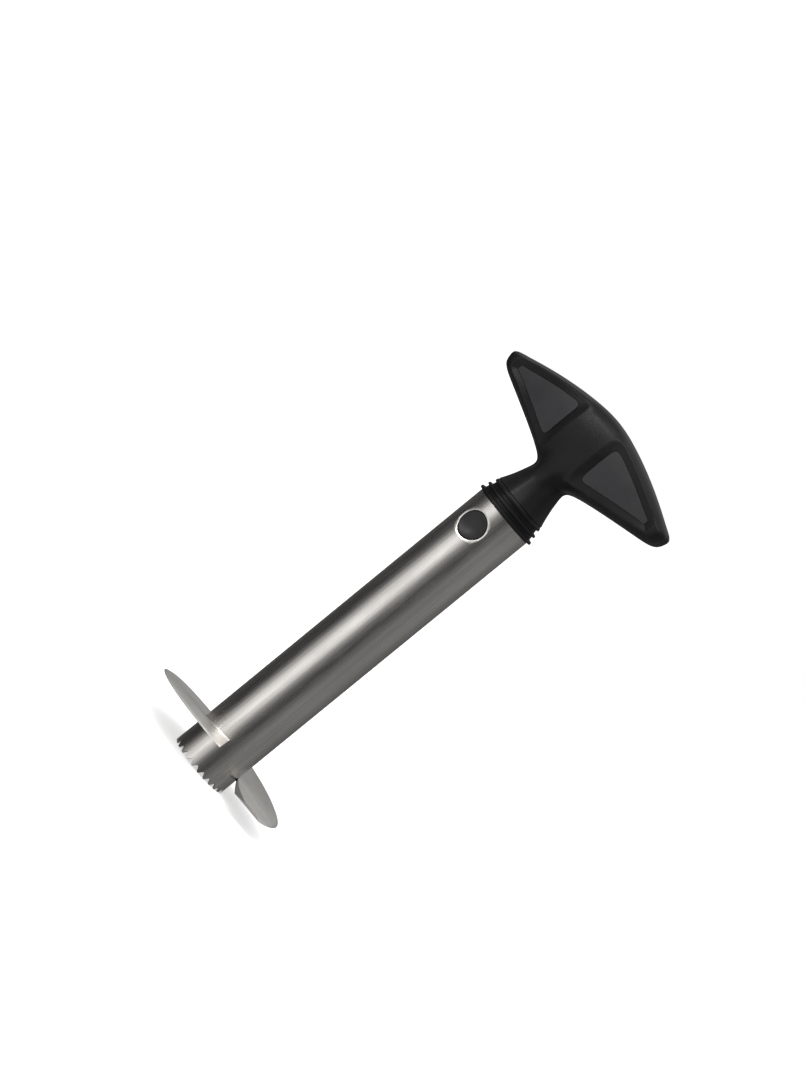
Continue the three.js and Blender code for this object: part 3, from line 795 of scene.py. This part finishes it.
def wingBottom(x):
    share = abs(x) / handle["halfSpan"]
    flare = handle["flareDrop"] * math.exp(-abs(x) / handle["flareLength"])
    return handle["floor"] + handle["rise"] * share - flare


def wingDepth(x):
    share = min(abs(x) / handle["halfSpan"], 1) ** handle["depthPower"]
    return handle["halfDepth"] - (handle["halfDepth"] - handle["tipHalfDepth"]) * share


def wingHalf(x):
    return (wingTop(x) - wingBottom(x)) / 2


def wingMiddle(x):
    return (wingTop(x) + wingBottom(x)) / 2


def bulge(share):
    # how far out the squared section stands, at a share of its half height
    return (1 - abs(share) ** handle["squareness"]) ** (1 / handle["squareness"])


def sectionRows(x):
    # depth and height shares of the section's corners, from the middle of its face to its top
    rows, power = [], handle["squareness"]
    for k in range(handle["sides"] // 4 + 1):
        ray = turn * k / handle["sides"]
        factor = (abs(math.cos(ray)) ** power + abs(math.sin(ray)) ** power) ** (-1 / power)
        rows.append((factor * math.cos(ray), factor * math.sin(ray)))
    inner, outer = handle["panel"]
    if inner <= abs(x) <= outer:
        rim = 1 - handle["rimMargin"] / wingHalf(x)
        rows[1] = (bulge(rim / 2), rim / 2)
        rows[2] = (bulge(rim), rim)
    return rows


def tipShare(x):
    # how much of the section is left where the wing's end rounds off
    rounding, power = handle["tipRounding"], handle["tipPower"]
    along = (abs(x) - handle["halfSpan"] + rounding) / rounding
    return (1 - min(max(along, 0), handle["tipEnd"]) ** power) ** (1 / power)


def neckRadius(height):
    base, waist = handle["neckBase"], handle["neckWaist"]
    start = collar["height"] + collar["seat"]
    share = min(max((height - start) / (handle["neckRise"] - start), 0), 1)
    return waist + (base - waist) * (1 - share) ** handle["neckPower"]


def makeHandleCage():
    sides, growth = handle["sides"], handle["cageGrowth"]
    half = handle["halfSpan"] + handle["tipReach"]
    inner, outer = handle["panel"]
    thin = mm                # the radius of the round bar that the cage starts as
    clearSelection()
    bpy.ops.mesh.primitive_cylinder_add(vertices=sides, radius=thin, depth=2 * half * mm,
                                        end_fill_type="NGON", rotation=(0, turn / 4, 0))
    cage = nameIt("handleCage")
    placeInMesh(cage)
    edit(cage)
    stations = sorted({side * x for x in handle["stations"] for side in (-1, 1)})
    for x in stations:
        bisect((x * mm, 0, 0), (1, 0, 0))

    def atStation(v, x):
        return abs(v.co.x - x * mm) < hair

    # each station of the round bar is squared and brought to the wing's size
    for x in (*stations, -half, half):
        tall = wingHalf(x) * tipShare(x) * growth
        deep = wingDepth(x) * tipShare(x) * growth
        for k, (depthShare, heightShare) in enumerate(sectionRows(x)):
            ray = turn * k / sides

            def onRow(v):
                unshaped = abs(v.co.z) < 1.5 * thin
                here = round(math.atan2(abs(v.co.z), abs(v.co.y)) / turn * sides)
                return unshaped and atStation(v, x) and here == k

            pick(cage, "verts", onRow)
            across = deep * depthShare / math.cos(ray) if k < sides / 4 else 1
            upright = tall * heightShare / math.sin(ray) if k > 0 else 1
            resize(1, across, upright, (0, 0, 0))
        pick(cage, "verts", lambda v: atStation(v, x))
        move(z=tubeTop + wingMiddle(x) * mm)
    for x, lean in handle["tipLean"].items():
        beyond = half if x == max(handle["tipLean"]) else x
        for side in (-1, 1):
            pick(cage, "verts", lambda v: x * mm - hair < v.co.x * side < beyond * mm + hair)
            rotate(-side * math.radians(lean), "Y", (side * x * mm, 0, tubeTop + wingMiddle(x) * mm))
    # neck: the underside opened at the middle and drawn down
    axisHeight = tubeTop + wingMiddle(0) * mm

    def underneath(f):
        p = place(f)
        lowEnough = p.z < axisHeight - handle["mouthSlope"] * abs(p.y) - handle["mouthDrop"] * mm
        return abs(p.x) < inner * mm + hair and lowEnough and f.normal.z < -handle["mouthFacing"]

    pick(cage, "faces", underneath)
    bpy.ops.mesh.delete(type="FACE")
    first = handle["neckLevels"][0]
    bpy.ops.mesh.primitive_circle_add(vertices=sides, radius=neckRadius(first) * growth * mm,
                                      location=(0, 0, tubeTop + first * mm))
    pickOpenEdges(cage)
    bpy.ops.mesh.bridge_edge_loops(number_cuts=1, interpolation="SURFACE", smoothness=handle["mouthSmooth"])
    for before, level in zip(handle["neckLevels"], handle["neckLevels"][1:]):
        pickOpenEdges(cage)
        extrude(z=(level - before) * mm)
        scale = neckRadius(level) / neckRadius(before)
        resize(scale, scale, 1, (0, 0, tubeTop + level * mm))
    # both faces of both wings: a rim, a sloping wall and a floor for the pad
    for slotName in ("shell", "padFloor", "gap"):
        cage.data.materials.append(bpy.data.materials.new(slotName))

    def onPanel(f):
        p = place(f)
        x = abs(p.x) / mm
        if not inner < x < outer:
            return False
        fromMiddle = abs(p.z - tubeTop - wingMiddle(x) * mm)
        margin = wingHalf(x) - handle["rimMargin"]
        return abs(f.normal.y) > handle["panelFacing"] and fromMiddle < margin * growth * mm

    pick(cage, "faces", onPanel)
    assignSlot(cage, 1)
    creaseRim(cage, handle["rimCrease"])
    pick(cage, "faces", lambda f: f.material_index == 1)
    bpy.ops.mesh.inset(thickness=handle["rimWidth"] * mm, use_even_offset=True)
    bpy.ops.mesh.select_all(action="INVERT")
    assignSlot(cage, 0)
    creaseRim(cage, handle["floorCrease"])
    sinkFloor(cage)
    # a narrow ring round each floor is the gap beside its pad
    pick(cage, "faces", lambda f: f.material_index == 1)
    bpy.ops.mesh.inset(thickness=handle["padGap"] * mm, use_even_offset=True)
    assignSlot(cage, 2)
    creaseRim(cage, handle["floorCrease"])
    return cage


def sinkFloor(cage):
    # each corner of the floors goes to its place, drawn in from the rim and sunk
    growth = handle["cageGrowth"]
    mesh = bmesh.from_edit_mesh(cage.data)
    spots = [v.co.copy() for v in mesh.verts if any(f.material_index == 1 for f in v.link_faces)]
    for spot in spots:
        x = abs(spot.x) / mm
        station = min(handle["floorStations"], key=lambda s: abs(s - x))
        floorX = handle["floorStations"][station]
        rows = [share for depth, share in sectionRows(station)[:3]]
        raised = (spot.z - tubeTop) / mm - wingMiddle(station)
        height = abs(raised) / wingHalf(station) / growth
        row = min(range(3), key=lambda k: abs(rows[k] - height))
        floorHalf = max(wingHalf(floorX) - handle["floorMargin"], handle["leastFloor"])
        share = row / 2 * floorHalf / wingHalf(floorX)
        out = bulge(share) * wingDepth(floorX) * growth - handle["sink"]
        up = math.copysign(share * wingHalf(floorX) * growth, raised) + wingMiddle(floorX)
        goal = Vector((math.copysign(floorX * mm, spot.x), math.copysign(out * mm, spot.y),
                       tubeTop + up * mm))
        pick(cage, "verts", lambda v: (v.co - spot).length < hair / 10)
        move(*(goal - spot))


def creaseRim(cage, amount):
    # hardens the edge all round the panel faces
    pick(cage, "edges", lambda e: len({f.material_index for f in e.link_faces}) == 2)
    bpy.ops.transform.edge_crease(value=amount)


def makePads(body):
    # each floor within its gap, copied and given a thickness and a rounded edge
    edit(body)
    pick(body, "faces", lambda f: f.material_index == 2)
    bpy.ops.mesh.duplicate()
    bpy.ops.mesh.separate(type="SELECTED")
    objectMode()
    floors = next(piece for piece in bpy.context.selected_objects if piece != body)
    edit(floors)
    selectAll()
    bpy.ops.mesh.separate(type="LOOSE")
    objectMode()
    for pad in list(bpy.context.selected_objects):
        middle = sum((v.co for v in pad.data.vertices), Vector()) / len(pad.data.vertices)
        side = "Left" if middle.x < 0 else "Right"
        face = "front" if middle.y < 0 else "rear"
        pad.name = pad.data.name = face + side + "Pad"
        edit(pad)
        selectAll()
        bpy.ops.transform.shrink_fatten(value=handle["padProud"] * mm)
        thicken(pad, handle["padDepth"] + handle["padProud"])
        applyModifier(pad, "BEVEL", width=handle["padEdge"] * mm, segments=handle["padSegments"],
                      limit_method="ANGLE", angle_limit=math.radians(handle["padEdgeAngle"]))
        pad.data.materials.clear()
        settle(pad, padRubber, "handle", f"{face}_{side.lower()}_pad")
    # the pocket that each pad lies in
    edit(body)
    pick(body, "faces", lambda f: f.material_index > 0)
    bpy.ops.mesh.extrude_region_shrink_fatten(
        TRANSFORM_OT_shrink_fatten={"value": -(handle["padDepth"] + handle["padGap"]) * mm})
    objectMode()
    print("pads cut")


def makeShell(body, name, face, node):
    # one half of the body: parted beside y = 0, its edge eased, and given its wall
    shell = copyOf(body, name)
    edit(shell)
    seam = face * handle["seam"] * mm
    ease = handle["seamBevel"] * mm
    bisect((0, seam, 0), (0, face, 0), clear_inner=True)
    bisect((0, seam + face * ease, 0), (0, face, 0))
    pick(shell, "verts", lambda v: abs(v.co.y - seam) < hair / 2)
    bpy.ops.transform.shrink_fatten(value=-ease)
    pick(shell, "verts", lambda v: abs(v.co.y - seam) < ease / 2 and v.is_boundary)
    resize(1, 0, 1, (0, seam, 0))
    thicken(shell, handle["wall"])
    if face > 0:
        boreForNeckScrew(shell)
    shell.data.materials.clear()
    settle(shell, shellPlastic, "handle", node, smoothAngle=40)


def cutBar(piece, radius, start, end, x, z, sides=64, operation="DIFFERENCE"):
    # a round bar along y, from start to end, cut out of the piece or joined to it
    clearSelection()
    middle = (x * mm, (start + end) / 2 * mm, z * mm)
    bpy.ops.mesh.primitive_cylinder_add(vertices=sides, radius=radius * mm, depth=(end - start) * mm,
                                        location=middle, rotation=(turn / 4, 0, 0))
    bar = nameIt("bar")
    placeInMesh(bar)
    cutWith(piece, bar, operation)


# how thick each kind of screw's head is, and its shank's radius
screwHeads = {"neck_screw": 1.8, "wing": 1.8, "latch": 1.2}
screwShanks = {"neck_screw": 1.2, "wing": 1.2, "latch": 0.945}


def boreForNeckScrew(shell):
    low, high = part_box("neck_screw")
    z = heightOf("neck_screw") / mm
    headRadius = (high.x - low.x) / 2 / mm
    seat = high.y / mm - screwHeads["neck_screw"]
    boss = handle["neckBoss"]
    cutBar(shell, headRadius + boss["wall"], boss["start"], seat + boss["rise"], 0, z, operation="UNION")
    cutBar(shell, headRadius + boss["gap"], seat - boss["gap"], pastAll, 0, z)
    cutBar(shell, boss["shank"], 0, pastAll, 0, z)


def makeHandle():
    cage = makeHandleCage()
    applyModifier(cage, "SUBSURF", levels=handle["levels"], render_levels=handle["levels"])
    print("handle smoothed", len(cage.data.polygons), "faces")
    makePads(cage)
    makeShell(cage, "frontShell", -1, "handle_front_shell")
    makeShell(cage, "rearShell", 1, "handle_rear_shell")
    discard(cage)
    print("handle parted")


makeHandle()


# Release buttons: a dished cap bent to the tube's round, its shaft and flange, and a guide for the spring

button = {
    "sink": 0.3, "radius": 6.7, "dish": 2.1, "dishReach": 6.15, "dishSteps": 9,
    "lip": ((6.36, 0.03), (6.5, 0.0), (6.62, 0.06), (6.69, 0.18), (6.7, 0.34)),     # radius and depth
    "stretch": 1.0336, "steps": 96, "shaft": 0.6, "flange": 8.2, "flangeOut": 8.9, "flangeIn": 6.9,
    "guide": 2.4, "guideIn": 5.4, "edge": 0.2,
}


def makeButton(name, side, body, node):
    face = tubeRadius - button["sink"] * mm
    reach, dish = button["dishReach"], button["dish"]
    bowlRadius = (reach ** 2 + dish ** 2) / (2 * dish)
    steps = button["dishSteps"]
    bowl = [reach * i / steps for i in range(steps + 1)]
    outline = [(r, dish - bowlRadius + math.sqrt(bowlRadius ** 2 - r ** 2)) for r in bowl]
    outline += button["lip"]
    outline = [(r * mm, y * mm, 0) for r, y in outline]
    cap = turnOutline(name, outline, button["steps"], axis=(0, 1, 0), closed=False)
    cap.scale = (button["stretch"], 1, 1)
    placeInMesh(cap)
    width = 2 * button["radius"] * button["stretch"] * mm
    rollUp(cap, width / face)
    edit(cap)
    selectAll()
    move(y=-face)

    def goTo(out, radius):
        # the next ring of the button, at a distance out from the tube's axis
        pickOpenEdges(cap)
        extrude()
        ring = [v.co for v in bmesh.from_edit_mesh(cap.data).verts if v.select]
        move(y=-out * mm - sum(spot.y for spot in ring) / len(ring))
        resize(1, 0, 1, (0, -out * mm, 0))
        bpy.ops.transform.tosphere(value=1)
        mean = sum(math.hypot(spot.x, spot.z) for spot in ring) / len(ring)
        resize(radius * mm / mean, 1, radius * mm / mean, (0, -out * mm, 0))

    edge, radius, guide, flange = (button[size] for size in ("edge", "radius", "guide", "flange"))
    flangeOut, flangeIn, guideIn = (button[size] for size in ("flangeOut", "flangeIn", "guideIn"))
    for out, ringRadius in (
        (flangeOut + button["shaft"], radius), (flangeOut + edge, radius), (flangeOut, radius + edge),
        (flangeOut, flange - edge), (flangeOut - edge, flange), (flangeIn + edge, flange),
        (flangeIn, flange - edge), (flangeIn, guide), (guideIn + edge, guide), (guideIn, guide - edge),
    ):
        goTo(out, ringRadius)
    pickOpenEdges(cap)
    fillFace()
    tidyNormals()
    move(z=heightOf(node))
    if side > 0:
        rotate(turn / 2)
    settle(cap, buttonPlastic, body, node)
    print(name, "made")


makeButton("frontButton", -1, "front_button_body", "front_button")
makeButton("rearButton", 1, "rear_button_body", "rear_button")


# Spring between the buttons, in two halves, one reaching towards each button

spring = {"coil": 3.6, "wire": 0.4, "reach": 6.2, "turns": 3, "steps": 36, "wireSides": 14, "keep": 0.47}


def makeSpring(name, side):
    height = heightOf("button_spring")
    clearSelection()
    bpy.ops.mesh.primitive_circle_add(vertices=spring["wireSides"], radius=spring["wire"] * mm,
                                      location=(spring["coil"] * mm, 0, 0))
    wire = nameIt(name)
    placeInMesh(wire)
    turns, reach = spring["turns"], side * spring["reach"] * mm
    wind(wire, "Y", side * turn * turns, reach, turns * spring["steps"])
    edit(wire)
    for end in (0, reach):
        pick(wire, "edges", lambda e: len(e.link_faces) == 1 and abs(place(e).y - end) < spring["wire"] * mm)
        fillFace()
    tidyNormals()
    move(z=height)
    settle(wire, springSteel, "handle", "button_spring")
    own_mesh(wire)
    print(name, "wound")


makeSpring("frontSpringHalf", -1)
makeSpring("rearSpringHalf", 1)


# Latch core: the plug in the tube and its stem in the neck, in two halves held by two screws and a cap

latch = {
    "plug": 14.8, "depth": 35, "shoulder": 10.5, "stem": 6.8, "stemTop": 46, "edge": 0.4,
    "capHeight": 6.7, "capWall": 1.3, "capFloor": 1.2, "gap": 0.2, "seam": 0.06,
    "bore": 6.95, "pocket": 8.45, "pocketReach": 9.2, "shankGap": 0.25, "steps": 96, "halvingBlock": 400,
    "sides": {"bore": 96, "head": 48, "shank": 32},
}


def turnFromTop(name, outline):
    # outline points as radius and height above the tube's rim
    return turnOutline(name, [(r * mm, 0, tubeTop + z * mm) for r, z in outline], latch["steps"])


def makeLatchCore():
    plug, shoulder, stem = latch["plug"], latch["shoulder"], latch["stem"]
    edge, gap, rise = latch["edge"], latch["gap"], collar["height"]
    floor = latch["capFloor"] + gap - latch["depth"]
    rim = latch["capHeight"] + gap - latch["depth"]
    tail = plug - latch["capWall"] - gap
    top = latch["stemTop"]
    core = turnFromTop("latchCore", [
        (0, floor), (tail - edge, floor), (tail, floor + edge), (tail, rim), (plug, rim), (plug, -edge),
        (plug - edge, 0), (shoulder, 0), (shoulder, rise), (stem, rise), (stem, top - 2 * edge),
        (stem - 2 * edge, top), (0, top),
    ])
    height = heightOf("button_spring") / mm
    reach, sides = latch["pocketReach"], latch["sides"]
    cutBar(core, latch["bore"], -pastAll, pastAll, 0, height, sides["bore"])
    cutBar(core, latch["pocket"], -reach, reach, 0, height, sides["bore"])
    for node in ("latch_screw_left", "latch_screw_right"):
        low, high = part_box(node)
        x, end, top = (low.x + high.x) / 2 / mm, low.y / mm, high.y / mm
        head = (high.x - low.x) / 2 / mm + latch["shankGap"]
        cutBar(core, screwShanks["latch"] + latch["shankGap"], end - gap, top, x, height, sides["shank"])
        cutBar(core, head, top - screwHeads["latch"] - gap, pastAll, x, height, sides["head"])
    neckHeight = heightOf("neck_screw") / mm
    cutBar(core, handle["neckBoss"]["shank"], -pastAll, pastAll, 0, neckHeight, sides["shank"])
    size = latch["halvingBlock"] * mm
    for name, side in (("Front", -1), ("Rear", 1)):
        half, node = copyOf(core, "latchCore" + name), "latch_core_" + name.lower()
        away = side * (latch["seam"] * mm - size / 2)
        clearSelection()
        bpy.ops.mesh.primitive_cube_add(size=size, location=(0, away, tubeTop))
        cutWith(half, nameIt("otherSide"))
        edit(half)
        tidyNormals()
        settle(half, corePlastic, "handle", node, smoothAngle=28)
    discard(core)
    print("latch core parted")


def makeEndCap():
    bottom, plug, edge = -latch["depth"], latch["plug"], latch["edge"]
    soft, inside = cornerShare * edge, plug - latch["capWall"]
    lip, floor = bottom + latch["capHeight"], bottom + latch["capFloor"]
    cup = turnFromTop("latchEndCap", [
        (0, bottom), (plug - edge, bottom), (plug - soft, bottom + soft), (plug, bottom + edge),
        (plug, lip - edge / 2), (plug - edge / 2, lip), (inside, lip), (inside, floor), (0, floor),
    ])
    settle(cup, corePlastic, "handle", "latch_end_cap", smoothAngle=28)
    print("end cap turned")


makeLatchCore()
makeEndCap()


# Screws: a domed head with a cross recess, on a plain shank

screw = {
    "steps": 48, "overrun": 0.3,
    # the head's outline, as shares of its radius and of its height
    "head": ((0, 1), (0.45, 0.99), (0.72, 0.92), (0.89, 0.76), (0.975, 0.5), (1, 0.3), (1, 0.08), (0.96, 0)),
    # shares of the head's radius and height, and of the shank's radius
    "crossReach": 0.64, "crossWidth": 0.2, "crossDepth": 0.55, "crossTaper": 0.55, "point": 0.35,
}


def makeScrew(node):
    kind = next(kind for kind in screwHeads if node.startswith(kind))
    low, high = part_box(node)
    radius = (high.x - low.x) / 2
    head = screwHeads[kind] * mm
    shank = screwShanks[kind] * mm
    seat = high.y - head
    point = screw["point"] * shank
    outline = [(r * radius, seat + y * head, 0) for r, y in screw["head"]]
    outline += [(shank, seat, 0), (shank, low.y + shank, 0), (point, low.y, 0), (0, low.y, 0)]
    words = node.split("_")
    name = words[0] + "".join(word.title() for word in words[1:])
    made = turnOutline(name, outline, screw["steps"], axis=(0, 1, 0))
    reach, half = screw["crossReach"] * radius, screw["crossWidth"] * radius
    top = high.y + screw["overrun"] * mm
    depth = screw["crossDepth"] * head + screw["overrun"] * mm
    cross, arm = [], [(reach, half), (half, half), (half, reach)]
    for quarter in range(4):
        cross += [(x, top, z) for x, z in arm]
        arm = [(-z, x) for x, z in arm]
    driver = drawOutline("driver", cross)
    selectAll()
    fillFace()
    extrude(y=-depth)
    resize(screw["crossTaper"], 1, screw["crossTaper"], (0, top - depth, 0))
    tidyNormals()
    cutWith(made, driver)
    edit(made)
    tidyNormals()
    move(x=(low.x + high.x) / 2, z=heightOf(node))
    settle(made, screwSteel, "handle", node, smoothAngle=35)


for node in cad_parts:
    if "_screw" in node:
        makeScrew(node)
print("screws turned")
